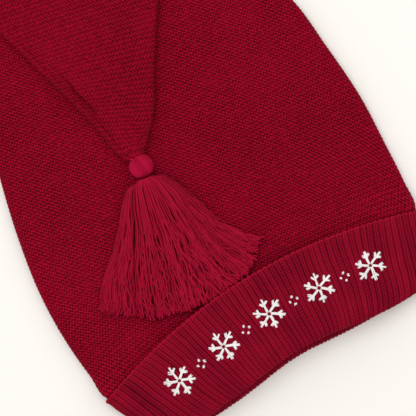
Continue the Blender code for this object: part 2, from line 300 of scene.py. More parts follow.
class TasselSettings(bpy.types.PropertyGroup):
    """Threads of the tassel."""

    strands: bpy.props.IntProperty(
        name="Strands", description="Strands in the skirt of the tassel", default=500, min=1
    )
    strand_radius: length("Strand radius", "Half the thickness of one strand", 0.00046)
    strand_colour: colour("Strand colour", "Thread of the tassel's skirt", (0.203, 0.0010, 0.0140))
    knob_colour: colour("Knob colour", "Thread wound round the knob", (0.480, 0.0020, 0.0390))


class OrnamentSettings(bpy.types.PropertyGroup):
    """Stitched snowflakes on the cuff."""

    flakes: bpy.props.IntProperty(
        name="Snowflakes", description="Snowflakes on the cuff", default=5, min=1
    )
    spacing: length("Spacing", "Distance between snowflakes along the cuff", 0.0262)
    arm: length("Arm", "Length of a snowflake's arm", 0.0078)
    thread_radius: length("Thread radius", "Half the thickness of the thread", 0.00036)
    thread_colour: colour("Thread colour", "Thread of the ornament", (0.90, 0.87, 0.86))


class StageSettings(bpy.types.PropertyGroup):
    """Floor, lights and camera."""

    floor_colour: colour("Floor colour", "Paper under the cap", (0.93, 0.905, 0.865))
    view_width: length("View width", "Width of the floor that the camera sees", 0.1997)
    camera_height: length("Camera height", "Height of the camera over the floor", 0.90)
    key_power: bpy.props.FloatProperty(
        name="Key light", description="Power of the main light", default=5.9
    )
    sky: bpy.props.FloatProperty(
        name="Sky", description="Strength of the light all round", default=0.66
    )


# The shape of the cap as it lies

def ease(share):
    """A smooth step from 0 to 1."""
    share = np.clip(share, 0, 1)
    return share * share * (3 - 2 * share)


def rise(at, place):
    """A smooth step from 0 to 1 over the run of a Rise."""
    return ease((at - place.start) / place.run)


def hump(away, width):
    """A smooth hump of height 1: away is the distance from its middle."""
    return np.exp(-((away / width) ** 2))


def along_table(rows, key, column, at):
    """A table's column as one smooth curve over its key column."""
    xs = np.array([getattr(row, key) for row in rows])
    ys = np.array([getattr(row, column) for row in rows])
    slopes = np.gradient(ys, xs)
    at = np.clip(at, xs[0], xs[-1])
    i = np.clip(np.searchsorted(xs, at) - 1, 0, len(xs) - 2)
    step = xs[i + 1] - xs[i]
    t = (at - xs[i]) / step
    start = (1 + 2 * t) * (1 - t) ** 2 * ys[i] + t * (1 - t) ** 2 * step * slopes[i]
    end = t**2 * (3 - 2 * t) * ys[i + 1] - t**2 * (1 - t) * step * slopes[i + 1]
    return start + end


def bag(column, y):
    """A column of the bag's table at a height."""
    return along_table(BAG, "height", column, np.asarray(y) / FLAT_LENGTH)


def left_edge(y):
    return -HALF_WIDTH * bag("left", y)


def right_edge(y):
    return HALF_WIDTH * bag("right", y)


def dome(flat):
    """The swell across the bag: level in the middle, falling to nothing at the side folds."""
    return (1 - np.clip(flat, -1, 1) ** 4) ** 2


def ripple(x, y):
    """Soft unevenness of knitting that lies loose."""
    slow = np.sin(x / 0.019 + 1.3 + 1.1 * np.sin(y / 0.031)) * np.sin(y / 0.027 + 0.4)
    quick = np.sin(x / 0.0083 - y / 0.016 + 2.0) * np.sin(y / 0.0124 + x / 0.03)
    return SLOW_RIPPLE * slow + QUICK_RIPPLE * quick


def bow(x):
    """How far an arched row has dropped at a place across the cap, as a share of its arch."""
    return ((x - CUFF_TOP_SIDE) / HALF_WIDTH) ** 2


def cuff_edge(x):
    """Height of the cuff's upper edge along the brim."""
    return CUFF_DEPTH - CUFF_ARCH * bow(x)


def floor_lift(x, y):
    """The back of the bag lies on the cuff, and comes down to the surface above it."""
    return CUFF_STACK * (1 - rise(y - cuff_edge(x), BACK_SETTLES))


def front_height(x, y):
    """Height of the bag's front over a place on the surface that it lies on."""
    left, right = left_edge(y), right_edge(y)
    flat = (x - (left + right) / 2) / ((right - left) / 2 - EDGE_RADIUS)
    swell = PUFF * bag("front_swell", y) + ripple(x, y)
    return floor_lift(x, y) + 2 * EDGE_RADIUS + swell * dome(flat)


TASSEL_ALONG = np.array([-math.sin(TASSEL_TURN), -math.cos(TASSEL_TURN)])
TASSEL_ACROSS = np.array([-TASSEL_ALONG[1], TASSEL_ALONG[0]])
KNOB_TO_HEM = KNOB_LENGTH / 2 + SEAT_GAP + SKIRT_LENGTH
KNOB_PLACE = np.array([TIP_SIDE, CUFF_DEPTH + HEM_GAP - KNOB_TO_HEM * TASSEL_ALONG[1]])
KNOB_UNFOLDED = np.array([TIP_SIDE_UNFOLDED, FLAT_LENGTH + SEAT_GAP + KNOB_LENGTH / 2])
FOLD_PLACE = (KNOB_PLACE + KNOB_UNFOLDED) / 2
FOLD_NORMAL = (KNOB_UNFOLDED - KNOB_PLACE) / np.linalg.norm(KNOB_UNFOLDED - KNOB_PLACE)
FOLD_LINE = np.array([FOLD_NORMAL[1], -FOLD_NORMAL[0]])
HALF_TURN = FOLD_RADIUS * math.pi / 2

# The frame's origin is under the middle of the cap, so the CAD's knob says where the cap's own is.
KNOB_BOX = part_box("tassel_knob")
TO_FRAME = (np.array(KNOB_BOX[0]) + np.array(KNOB_BOX[1]))[:2] / 2 - KNOB_PLACE


def in_frame(points):
    """Points of the cap's own plan, moved to the frame."""
    points = np.array(points, dtype=float)
    points[..., :2] += TO_FRAME
    return points


def laid(x, y, offset):
    """Where a point of the unfolded bag lies. Its offset is from the middle plane, to the front."""
    aside = np.stack([x - FOLD_PLACE[0], y - FOLD_PLACE[1]], -1)
    past = aside @ FOLD_NORMAL
    along = aside @ FOLD_LINE
    turn = np.clip((past + HALF_TURN) / FOLD_RADIUS, 0, math.pi)
    before = np.minimum(past + HALF_TURN, 0)
    beyond = np.maximum(past - HALF_TURN, 0)
    out = before - HALF_TURN + FOLD_RADIUS * np.sin(turn) - beyond
    middle = floor_lift(x, y) + EDGE_RADIUS + FOLD_RADIUS * (1 - np.cos(turn))
    plan = FOLD_PLACE + along[..., None] * FOLD_LINE + out[..., None] * FOLD_NORMAL
    resting = front_height(plan[..., 0], plan[..., 1]) + FLAP_GAP + EDGE_RADIUS
    middle = middle + (resting - middle) * ease(beyond / FLAP_SETTLE)
    plan = plan - (offset * np.sin(turn))[..., None] * FOLD_NORMAL
    return np.concatenate([plan, (middle + offset * np.cos(turn))[..., None]], -1)


def crease(x, y, left):
    """How far the upper face of the folded tip drops along its left edge."""
    past = (y - FOLD_PLACE[1]) / (FLAT_LENGTH - FOLD_PLACE[1])
    inset = x - left - CREASE_INSET + CREASE_TAPER * rise(past, CREASE_TURNS)
    wander = 0.0005 * np.sin(y / 0.0041) + 0.0003 * np.sin(y / 0.0017)
    deep = rise(past, CREASE_STARTS) * (1 - CREASE_FADED * rise(past, CREASE_FADES))
    groove = CREASE_DEPTH * deep * hump(inset + wander, CREASE_HALF_WIDTH)
    ledge = LEDGE_DROP * ease(-inset / (2 * CREASE_HALF_WIDTH)) * rise(past, LEDGE_STARTS)
    return (groove + ledge) * ease((1 - past) / CREASE_END)


def brim_shift(x, half, front):
    """How far the brim's fold stands from straight across: arched, and higher in front."""
    arch = BRIM_ARCH * (1 - hump(x, BRIM_ARCH_WIDTH))
    return MOUTH_RISE * front * ease(MOUTH_FULLNESS * (1 - np.abs(x / half + MOUTH_ASIDE))) - arch


def bag_rows(y, arch, slant, flats, turns, out=0.0, brim=0.0):
    """Rows round the bag: flats are places across it, and turns the directions that it faces.

    Out is a distance from the crown's face, and brim is how much a row follows the brim's fold.
    Returns the rows as they lie, and the places that they have on the unfolded bag.
    """
    left, right = left_edge(y), right_edge(y)
    # The edges depend on the heights at which a row meets them, so they are found in steps.
    for _ in range(4):
        low = y - arch * bow(left) - slant * (right - left) / 2
        high = y - arch * bow(right) + slant * (right - left) / 2
        left, right = left_edge(low), right_edge(high)
    middle, half = (left + right) / 2, (right - left) / 2
    x = middle + flats * (half - EDGE_RADIUS) + (EDGE_RADIUS + out) * np.cos(turns)
    front = np.sin(turns) > 1e-9
    ys = y + slant * (x - middle) - arch * bow(x) + brim * brim_shift(x, half, front)
    front_swell = bag("front_swell", ys)
    swell = PUFF * np.where(front, front_swell, bag("back_swell", ys))
    swell = swell + np.where(front, ripple(x, ys) * np.minimum(4 * front_swell, 1), 0)
    folded = rise(ys - FOLD_PLACE[1], BACK_RIPPLE_STARTS)
    swell = swell + np.where(front, 0, BACK_RIPPLE * ripple(1.3 * x, ys) * folded)
    swell = swell * dome(flats)
    swell = swell - np.where(front, 0, crease(x, ys, left)) * (np.abs(flats) < 1)
    offset = (EDGE_RADIUS + out) * np.sin(turns) + np.where(front, swell, -swell)
    return laid(x, ys, offset), x, ys


def toward(angle):
    """The direction at an angle in a plan."""
    return np.array([math.cos(angle), math.sin(angle)])


def on_tassel(start, along, across):
    """Places in the plan, at distances along and across the tassel from a start."""
    return start + along[..., None] * TASSEL_ALONG + across[..., None] * TASSEL_ACROSS


# Modelling tools

def deselect():
    bpy.ops.object.select_all(action="DESELECT")


def read(items, key, count, kind=np.float32):
    """A property of all the items, as rows of count numbers."""
    values = np.empty(len(items) * count, dtype=kind)
    items.foreach_get(key, values)
    return values.reshape(-1, count)


def move_vertices(mesh, points):
    mesh.vertices.foreach_set("co", np.asarray(points, dtype=np.float32).ravel())
    mesh.update()


def grid_piece(name, points, knit, back_knit=None, turn_at=None):
    """A grid primitive laid out as rows of points, with a UV map of places in the knitting.

    Where back_knit is given, it holds the knitting's places for the columns before turn_at.
    """
    deselect()
    rows, columns = points.shape[:2]
    bpy.ops.mesh.primitive_grid_add(x_subdivisions=columns - 1, y_subdivisions=rows - 1, size=2)
    piece = bpy.context.object
    piece.name = piece.data.name = name
    mesh = piece.data
    flat = read(mesh.vertices, "co", 3)
    column = np.rint((flat[:, 0] + 1) / 2 * (columns - 1)).astype(int)
    row = np.rint((flat[:, 1] + 1) / 2 * (rows - 1)).astype(int)
    corner = read(mesh.loops, "vertex_index", 1, np.int32)[:, 0]
    places = knit[row[corner], column[corner]]
    if back_knit is not None:
        face_column = np.repeat(column[corner].reshape(-1, 4).min(1), 4)
        on_back = (face_column < turn_at)[:, None]
        places = np.where(on_back, back_knit[row[corner], column[corner]], places)
    layer = mesh.uv_layers[0]
    layer.name = "knit"
    layer.uv.foreach_set("vector", places.astype(np.float32).ravel())
    move_vertices(mesh, points[row, column])
    return piece


def finish_knit(piece, wall=0):
    """Joins the grid's sides into a tube and gives it its wall, inwards, where it has one."""
    bpy.ops.object.mode_set(mode="EDIT")
    bpy.ops.mesh.select_all(action="SELECT")
    bpy.ops.mesh.remove_doubles(threshold=1e-7)
    bpy.ops.mesh.select_all(action="DESELECT")
    bpy.ops.object.mode_set(mode="OBJECT")
    if wall:
        shell = piece.modifiers.new("wall", "SOLIDIFY")
        shell.thickness = wall
        shell.offset = -1
        shell.use_quality_normals = True
        bpy.ops.object.modifier_apply(modifier=shell.name)
    bpy.ops.object.shade_smooth()


def frames_along(path):
    """Two directions across each point of a path: level to its side, and over it."""
    tangent = np.gradient(path, axis=0)
    tangent /= np.linalg.norm(tangent, axis=1)[:, None]
    up = np.tile([0.0, 0.0, 1.0], (len(path), 1))
    side = np.cross(tangent, up)
    side /= np.maximum(np.linalg.norm(side, axis=1), 1e-9)[:, None]
    return side, np.cross(side, tangent)


class ThreadMaker:
    """Copies one straight thread, modelled once, along many paths."""

    def __init__(self, name, sides, steps):
        self.steps = steps
        self.copies = []
        around, along = np.meshgrid(np.linspace(0, 1, sides + 1), np.linspace(0, 1, steps + 1))
        unrolled = np.stack([around, along, 0 * along], -1)
        self.thread = grid_piece(name, unrolled, unrolled[..., :2])
        self.around, self.along, _ = read(self.thread.data.vertices, "co", 3).astype(float).T

    def lay(self, path, radius, flatness=1.0, tone=0.5, blunt=0.0):
        """One more thread. Its radius and tone may be a number or one for each ring.

        Blunt is how near to its ends it has its full thickness. At 0 it tapers over a whole step.
        """
        path = np.asarray(path, dtype=float)
        gone = np.concatenate([[0], np.cumsum(np.linalg.norm(np.diff(path, axis=0), axis=1))])
        even = np.linspace(0, gone[-1], self.steps + 1)
        if blunt:
            even[1], even[-2] = blunt, gone[-1] - blunt
        path = np.stack([np.interp(even, gone, path[:, k]) for k in range(3)], -1)
        radius = np.broadcast_to(radius, (self.steps + 1,)).copy()
        radius[[0, -1]] = 0
        side, over = frames_along(path)
        ring = np.rint(self.along * self.steps).astype(int)
        angle = -TAU * self.around
        points = path[ring] + radius[ring, None] * (
            np.cos(angle)[:, None] * side[ring] + flatness * np.sin(angle)[:, None] * over[ring]
        )
        copy = self.thread.copy()
        copy.data = self.thread.data.copy()
        bpy.context.scene.collection.objects.link(copy)
        move_vertices(copy.data, points)
        layer = copy.data.uv_layers[0]
        places = read(layer.uv, "vector", 2)
        places[:, 1] = places[:, 1] * gone[-1]
        layer.uv.foreach_set("vector", places.ravel())
        tones = copy.data.attributes.new("tone", "FLOAT", "POINT")
        tone = np.broadcast_to(tone, (self.steps + 1,))[ring]
        tones.data.foreach_set("value", tone.astype(np.float32))
        self.copies.append(copy)

    def join(self):
        """All the threads as one piece."""
        bpy.data.objects.remove(self.thread)
        deselect()
        for copy in self.copies:
            copy.select_set(True)
        piece = self.copies[0]
        bpy.context.view_layer.objects.active = piece
        bpy.ops.object.join()
        finish_knit(piece)
        return piece


def dress(piece, name, material, slot, *nodes):
    """Names a finished piece, lets it ride on the cap, and gives it its material."""
    piece.name = piece.data.name = name
    piece.data.materials.clear()
    piece.data.materials.append(material)
    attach(piece, "root")
    if nodes:
        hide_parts(*nodes)


# Materials

# Places on the knit map where a material changes: the folded tip, and the cuff's upper edge, which gets
# a painted highlight.
TIP_KNIT = Rise(0.178, 0.02)
RIM_HIGHLIGHT = 0.0012
RIM_HIGHLIGHT_RUN = 0.0004


class Wire:
    """A socket on which Python's arithmetic adds Math nodes."""

    def __init__(self, net, socket):
        self.net = net
        self.socket = socket

    def math(self, operation, *values):
        return self.net.node("ShaderNodeMath", {"operation": operation}, values)

    def __add__(self, other):
        return self.math("ADD", self, other)

    def __sub__(self, other):
        return self.math("SUBTRACT", self, other)

    def __rsub__(self, other):
        return self.math("SUBTRACT", other, self)

    def __mul__(self, other):
        return self.math("MULTIPLY", self, other)

    def __truediv__(self, other):
        return self.math("DIVIDE", self, other)

    __radd__ = __add__
    __rmul__ = __mul__

    def wave(self):
        """A cosine that runs from 0 to 1 and back for each whole number."""
        return self.math("COSINE", self * TAU) * 0.5 + 0.5

    def floor(self):
        return self.math("FLOOR", self)

    def fract(self):
        return self.math("FRACT", self)

    def size(self):
        return self.math("ABSOLUTE", self)

    def clamp(self):
        return self.net.node("ShaderNodeClamp", {}, [self])


class Net:
    """The nodes of one material, with its Principled BSDF."""

    def __init__(self, name, roughness, sheen):
        self.material = bpy.data.materials.new(name)
        self.material.use_nodes = True
        self.tree = self.material.node_tree
        self.shader = self.tree.nodes["Principled BSDF"]
        for key, value in (
            ("Metallic", 0),
            ("Roughness", roughness),
            ("Specular IOR Level", 0.04),
            ("Sheen Weight", sheen),
            ("Sheen Roughness", 0.45),
            ("Sheen Tint", (1, 0.03, 0.10, 1)),
        ):
            self.shader.inputs[key].default_value = value

    def node(self, kind, settings, values, output=0):
        """Adds a node, sets it, and gives its sockets values or wires."""
        made = self.tree.nodes.new(kind)
        for key, value in settings.items():
            setattr(made, key, value)
        pairs = values.items() if isinstance(values, dict) else enumerate(values)
        for key, value in pairs:
            if isinstance(value, Wire):
                self.tree.links.new(value.socket, made.inputs[key])
            else:
                made.inputs[key].default_value = value
        return Wire(self, made.outputs[output])

    def places(self):
        """The two coordinates of the piece's knit map."""
        uv = self.node("ShaderNodeUVMap", {"uv_map": "knit"}, [])
        return [self.node("ShaderNodeSeparateXYZ", {}, [uv], k) for k in (0, 1)]

    def point(self, *values):
        return self.node("ShaderNodeCombineXYZ", {}, list(values))

    def noise(self, at, scale, detail):
        return self.node("ShaderNodeTexNoise", {}, {"Vector": at, "Scale": scale, "Detail": detail})

    def chance(self, at):
        """One random number for each cell."""
        return self.node("ShaderNodeTexWhiteNoise", {"noise_dimensions": "2D"}, {"Vector": at})

    def mix(self, share, low, high):
        """A colour between two."""
        made = self.tree.nodes.new("ShaderNodeMix")
        made.data_type = "RGBA"
        for key, kind, value in (("Factor", "VALUE", share), ("A", "RGBA", low), ("B", "RGBA", high)):
            socket = next(s for s in made.inputs if s.name == key and s.type == kind)
            if isinstance(value, Wire):
                self.tree.links.new(value.socket, socket)
            else:
                socket.default_value = value
        return Wire(self, next(s for s in made.outputs if s.type == "RGBA"))

    def feed(self, key, wire):
        self.tree.links.new(wire.socket, self.shader.inputs[key])

    def dye(self, tone, yarn, low, high, pale=0.0):
        """Colours the piece: the yarn's colour times low where the tone is 0, and times high at 1."""
        self.feed("Base Color", self.mix(tone, shade(yarn, low), shade(yarn, high, pale)))

    def relief(self, height, depth):
        bump = self.node("ShaderNodeBump", {}, {"Height": height, "Distance": depth, "Strength": 1.0})
        self.feed("Normal", bump)


def shade(colour_value, factor, pale=0.0):
    """A colour made darker or lighter, and paler."""
    return (*[c * factor * (1 - pale) + pale for c in colour_value], 1)


def moss_knit(knit):
    """Moss stitch: bumps in a brick pattern, with a pit between each two."""
    net = Net("moss_knit", 0.9, 0.1)
    u, v = net.places()
    drift = net.noise(net.point(u, v, 0.0), 320.0, 1.0)
    drift_too = net.noise(net.point(v, u, 0.3), 300.0, 1.0)
    wale = (u + (drift - 0.5) * 0.00105) / knit.stitch_width
    row = (v + (drift_too - 0.5) * 0.00090) / knit.stitch_height
    cell = net.chance(net.point((wale * 2 + 0.5).floor(), (row * 2 + 0.5).floor(), 0.0))
    tip = ((v - TIP_KNIT.start) / TIP_KNIT.run).clamp()
    bumps = (wale + row).wave() * (0.54 - tip * 0.18) + (wale - row).wave() * (0.38 - tip * 0.08)
    height = bumps + (row + 0.25).wave() * (0.27 - tip * 0.01) + cell * 0.26 + tip * 0.08 - 0.21
    fuzz = net.noise(net.point(u, v, 0.0), 2600.0, 2.0)
    # Painted shade: the colour follows the stitch height, so the pits between the bumps and one side of
    # each row are darker; the same height also gives the bumps.
    tone = (height + (fuzz - 0.5) * 0.35).clamp()
    patch = net.noise(net.point(u, v, 0.7), 26.0, 2.0)
    tone = (tone + (patch - 0.5) * 0.30).clamp()
    net.dye(tone, knit.crown_colour, 0.18, 1.50, 0.0015)
    net.relief(height + fuzz * 0.12, 0.00075)
    return net.material


def rib_knit(knit):
    """Rib: each rib is two columns of stitches, with a deep groove to the next rib."""
    net = Net("rib_knit", 0.9, 0.1)
    u, v = net.places()
    # A painted highlight: the tone is lighter along the cuff's upper edge.
    rim = ((v - (CUFF_DEPTH - RIM_HIGHLIGHT)) / RIM_HIGHLIGHT_RUN).clamp()
    u = u + (net.noise(net.point(v * 150, u * 0.7, 0.0), 1.0, 1.0) - 0.5) * 0.14
    across = (u * 2).fract() * 2 - 1
    lean = across.size() * 0.42
    stitch = (v / knit.rib_stitch + lean + net.noise(net.point(u, v * 300, 0.0), 1.0, 1.0) * 0.8).wave()
    from_middle = (u.fract() - 0.5).size() * 2
    fuzz = net.noise(net.point(u * 0.003, v, 0.0), 2600.0, 2.0)
    column = net.chance(net.point((u * 2).floor(), 0.0, 0.0))
    patch = net.noise(net.point(u * 0.003, v, 0.7), 60.0, 3.0)
    open_rib = ((1 - from_middle) * 2.6).clamp()
    column_edge = (from_middle * 4.5).clamp()
    # Painted shade: the tone is darker in the groove between ribs and along the middle line between a
    # rib's two columns.
    tone = open_rib * (0.14 + column_edge * 0.38) + stitch * 0.26 + (column - 0.5) * 0.22
    tone = (tone + (fuzz - 0.5) * 0.6 + (patch - 0.5) * 0.5 + rim * 0.5).clamp()
    net.dye(tone, knit.cuff_colour, 0.24, 1.60, 0.003)
    net.relief(stitch * 0.5 + fuzz * 0.3, 0.00045)
    return net.material


def two_ply(name, thread_colour, turns_per_metre, roughness=0.75, contrast=0.45, edge=0.2):
    """Two plies twisted together, seen as a slanting groove round the thread, with a painted highlight
    along its top and painted shade on its sides.
    """
    net = Net(name, roughness, 0.1)
    u, v = net.places()
    twist = (u + v * turns_per_metre).wave()
    # Each thread's tone attribute; on the tassel's strands it holds painted shade as well as random
    # tone.
    tone = net.node("ShaderNodeAttribute", {"attribute_name": "tone"}, [], 2)
    fuzz = net.noise(net.point(u * 0.002, v, tone), 2400.0, 2.0)
    patch = net.noise(net.point(tone * 9, v, 0.0), 90.0, 1.0)
    # Painted light: facing is 1 along the thread's top; edge sets how much lighter the top and darker
    # the sides are painted.
    facing = ((u - 0.75).wave() * 2.2 - 1.2).clamp()
    light = twist * 0.16 + fuzz * 0.20 + tone * 0.50 + (patch - 0.5) * 0.4
    light = (light + facing * edge - edge * 0.5).clamp()
    net.dye(light, thread_colour, 1 - contrast, 1 + contrast, 0.0025)
    net.relief(twist + fuzz * 0.3, 0.00030)
    return net.material


def wound_thread(thread_colour):
    """Threads wound side by side round the knob."""
    net = Net("wound_thread", 0.7, 0.12)
    u, v = net.places()
    thread = u.wave()
    fuzz = net.noise(net.point(u * 0.3, v * 60, 0.0), 6.0, 2.0)
    single = net.chance(net.point(u.floor(), 0.0, 0.0))
    # Painted shade: the tone is darker in the grooves between the wound threads.
    light = (0.12 + (1 - thread) * 0.4 + fuzz * 0.35 + (single - 0.5) * 0.35).clamp()
    net.dye(light, thread_colour, 0.40, 1.25, 0.005)
    net.relief(fuzz, 0.00015)
    return net.material


def paper(stage):
    """The plain pale floor."""
    net = Net("paper", 0.9, 0.0)
    at = net.node("ShaderNodeTexCoord", {}, [], 3)
    grain = net.noise(at, 900.0, 3.0)
    cloud = net.noise(at, 6.0, 2.0)
    light = (0.5 + (grain - 0.5) * 0.4 + (cloud - 0.5) * 0.5).clamp()
    net.dye(light, stage.floor_colour, 0.985, 1.015)
    return net.material


# Pieces

def round_bag(front_count, back_count, crease_count):
    """Stations round the bag, from its right over the back, the left and the front.

    Returns their places and directions, and the number of the station at the left.
    """
    arc = np.linspace(0, math.pi / 2, 5)[1:]
    back = np.cos(np.linspace(0, math.pi, back_count + 1))[1:]
    back = np.sort(np.append(back, np.linspace(*CREASE_COLUMNS, crease_count)))[::-1]
    front = -np.cos(np.linspace(0, math.pi, front_count + 1))[1:]
    flats = np.concatenate([[1], np.ones(4), back, -np.ones(8), front, np.ones(4)])
    turns = np.concatenate([
        [0], -arc, np.full(len(back), -math.pi / 2),
        -math.pi / 2 - arc, -math.pi - arc, np.full(len(front), -1.5 * math.pi),
        -1.5 * math.pi - arc,
    ])
    return flats, turns, len(back) + 2 * len(arc)


def crown_rows(pitch):
    """Heights, arches and slants of the rows of knitting, each a row of mesh."""
    heights = [SEAM_HEIGHT]
    while heights[-1] + pitch < FLAT_LENGTH:
        heights.append(heights[-1] + pitch * (1 + 0.08 * float(rise(heights[-1], ROWS_WIDEN))))
    heights[-1] = FLAT_LENGTH
    y = np.array(heights)[:, None]
    arch = along_table(COURSES, "height", "arch", y / FLAT_LENGTH) * CUFF_ARCH
    slant = TIP_SLANT * rise(y, TIP_SLANTS) * ease((FLAT_LENGTH - y) / TIP_SLANT_END)
    return y, arch, slant


def wale_places(across, y):
    """Places of the wales: they fan out above the cuff, lean with the cap and close up in its tip."""
    lean = WALE_LEAN * (np.clip(y, WALES_LEAN_FROM, WALES_LEAN_TO) - WALES_LEAN_FROM)
    width = 0.92 + 0.08 * rise(y, WALES_FAN) - 0.12 * rise(y, WALES_CLOSE)
    return (across - lean) / width


class CAP_OT_crown(bpy.types.Operator):
    """Knits the crown, with its tip folded over the front"""

    bl_idname = "cap.crown"
    bl_label = "Crown"

    def execute(self, context):
        flats, turns, left_station = round_bag(50, 74, 16)
        pitch = context.scene.cap_knit.stitch_height / 2
        y, arch, slant = crown_rows(pitch)
        out = MOSS_RELIEF * np.where(np.arange(len(y)) % 2, -1, 1)[:, None]
        side = flats**8
        above = y - CUFF_DEPTH
        out = out - DIP_DEPTH * hump(above, DIP_WIDTH) * (1 - side)
        fill = FILL_HEIGHT * rise(above, FILL_STARTS) * hump(above - FILL_CREST, FILL_WIDTH)
        out = out + fill * side
        points, x, ys = bag_rows(y, arch, slant, flats[None, :], turns[None, :], out)
        end = rise(y, TIP_GATHER)[..., None]
        points = points + (points.mean(1, keepdims=True) - points) * 0.30 * end
        points = points + end * TIP_SHIFT
        arc = EDGE_RADIUS * (np.abs(np.sin(turns)) < 1) * np.where(flats > 0, 1, -1)
        arc = arc * (math.pi / 2 - np.arcsin(np.abs(np.sin(turns))))
        flat_x = x - (EDGE_RADIUS + out) * np.cos(turns) + arc
        rows = np.broadcast_to(pitch * np.arange(len(y))[:, None], flat_x.shape)
        knit = np.stack([wale_places(flat_x, ys), rows], -1)
        back_knit = np.stack([0.5 - wale_places(flat_x, ys), rows], -1)
        piece = grid_piece("knitted_crown", in_frame(points), knit, back_knit, left_station)
        finish_knit(piece, KNIT_WALL)
        dress(piece, "knitted_crown", moss_knit(context.scene.cap_knit), "moss_knit", "crown")
        return {"FINISHED"}


def rim_stations(count, half_flat, radius):
    """Places round the bag at equal steps along its rim, from the right over the back."""
    straight, bend = 2 * half_flat, math.pi * radius
    walk = (np.arange(count + 1) / count) * 2 * (straight + bend)
    marks = np.cumsum([0, bend / 2, straight, bend, straight, bend / 2])
    flats = np.interp(walk, marks, [1, 1, -1, -1, 1, 1])
    turns = np.interp(walk, marks, np.radians([0, -90, -90, -270, -270, -360]))
    return flats, turns


def rib_profile(phase):
    """Height across one rib, from 0 in the groove to 1: two columns of stitches side by side."""
    rib = np.clip(np.cos(math.pi * phase) * 1.15, 0, 1) ** 0.8
    return rib - 0.36 * hump(phase, 0.09)


def fanned(flats, reach):
    """Places across the cuff, drawn in towards its middle line near the fold."""
    return flats * (1 - RIB_FAN * (1 - reach)) + RIB_FAN * (1 - reach) * flats**7


def cuff_path():
    """(leg, reach, angle) down the turned-up leg, round the fold and up the inner leg."""
    path = [("outer", reach, 0.0) for reach in (1.0, 0.994, 0.982, 0.965, 0.94)]
    path += [("outer", reach, 0.0) for reach in np.linspace(0.90, 0.06, 13)]
    path += [("turn", 0.0, angle) for angle in np.linspace(0, math.pi, 11)]
    path += [("inner", reach, math.pi) for reach in np.linspace(0.12, 1.0, 6)]
    return path


class CAP_OT_cuff(bpy.types.Operator):
    """Knits the ribbed cuff, turned up once"""

    bl_idname = "cap.cuff"
    bl_label = "Cuff"

    def execute(self, context):
        count = 10 * RIB_COUNT
        station = np.arange(count + 1)
        phase = (station / 10 + 0.5) % 1 - 0.5
        chance = np.random.default_rng(11)
        depth = np.repeat(chance.uniform(0.62, 1.22, RIB_COUNT), 10)
        depth = np.append(depth, depth[0])
        points, knit = [], []
        for leg, reach, angle in cuff_path():
            near_edge = ease((1 - reach) * CUFF_DEPTH / RIM_FLAT_RIBS) if leg == "outer" else 1.0
            relief = RIB_DEPTH * (RIM_RIB_DEPTH + 0.75 * near_edge) * depth * (1 - rib_profile(phase))
            sink = np.minimum(relief, 1.5 * RIB_DEPTH)
            crest, inside = CUFF_STACK - sink, -RIB_WALL + sink
            middle, radius = (crest + inside) / 2, (crest - inside) / 2
            if leg == "turn":
                y = CUFF_TURN - radius * math.sin(angle)
                out = middle + radius * math.cos(angle)
            elif leg == "outer":
                y = CUFF_TURN + reach * (CUFF_DEPTH - CUFF_TURN)
                y = y + RIM_SCALLOP * np.cos(TAU * phase) * rise(reach, RIM_SCALLOP_REACH)
                from_edge = (1 - reach) * CUFF_DEPTH
                out = crest + RIM_ROLL * hump(from_edge - RIM_ROLL_PLACE, RIM_ROLL_WIDTH)
                out = out - RIM_ROUND * hump(from_edge, RIM_ROUND_WIDTH)
            else:
                y = CUFF_TURN + reach * (SEAM_HEIGHT - SEAM_GAP - CUFF_TURN)
                out = inside
            base = float(np.mean(y))
            half = (right_edge(base) - left_edge(base)) / 2
            edge = EDGE_RADIUS + CUFF_STACK * math.cos(angle / 2)
            flats, turns = rim_stations(count, half - EDGE_RADIUS, edge)
            sway = RIB_SWAY / half * np.sin(base / 0.006 + 2.0 * np.sin(station / 37))
            flats = fanned(flats, reach) + sway * (np.abs(flats) < 0.97)
            if leg == "outer":
                corner = flats**20
                drop = RIM_CORNER_DROP * corner
                raised = np.where(np.sin(turns) > 0, 1 - corner - drop, -drop)
                out = out + RIM_RAISE * float(rise(reach, RIM_RAISE_REACH)) * raised
            rows = bag_rows(y + 0 * phase, CUFF_ARCH * reach, 0.0, flats, turns, out, 1 - reach)
            points.append(rows[0])
            down = {"outer": base, "turn": CUFF_TURN * (1 - angle), "inner": -base - 2 * CUFF_TURN}[leg]
            knit.append(np.stack([station / 10 + 0.5, np.full(count + 1, down)], -1))
        points = in_frame(np.array(points)[::-1])
        piece = grid_piece("ribbed_cuff", points, np.array(knit)[::-1])
        finish_knit(piece, RIB_WALL)
        dress(piece, "ribbed_cuff", rib_knit(context.scene.cap_knit), "rib_knit", "cuff")
        return {"FINISHED"}


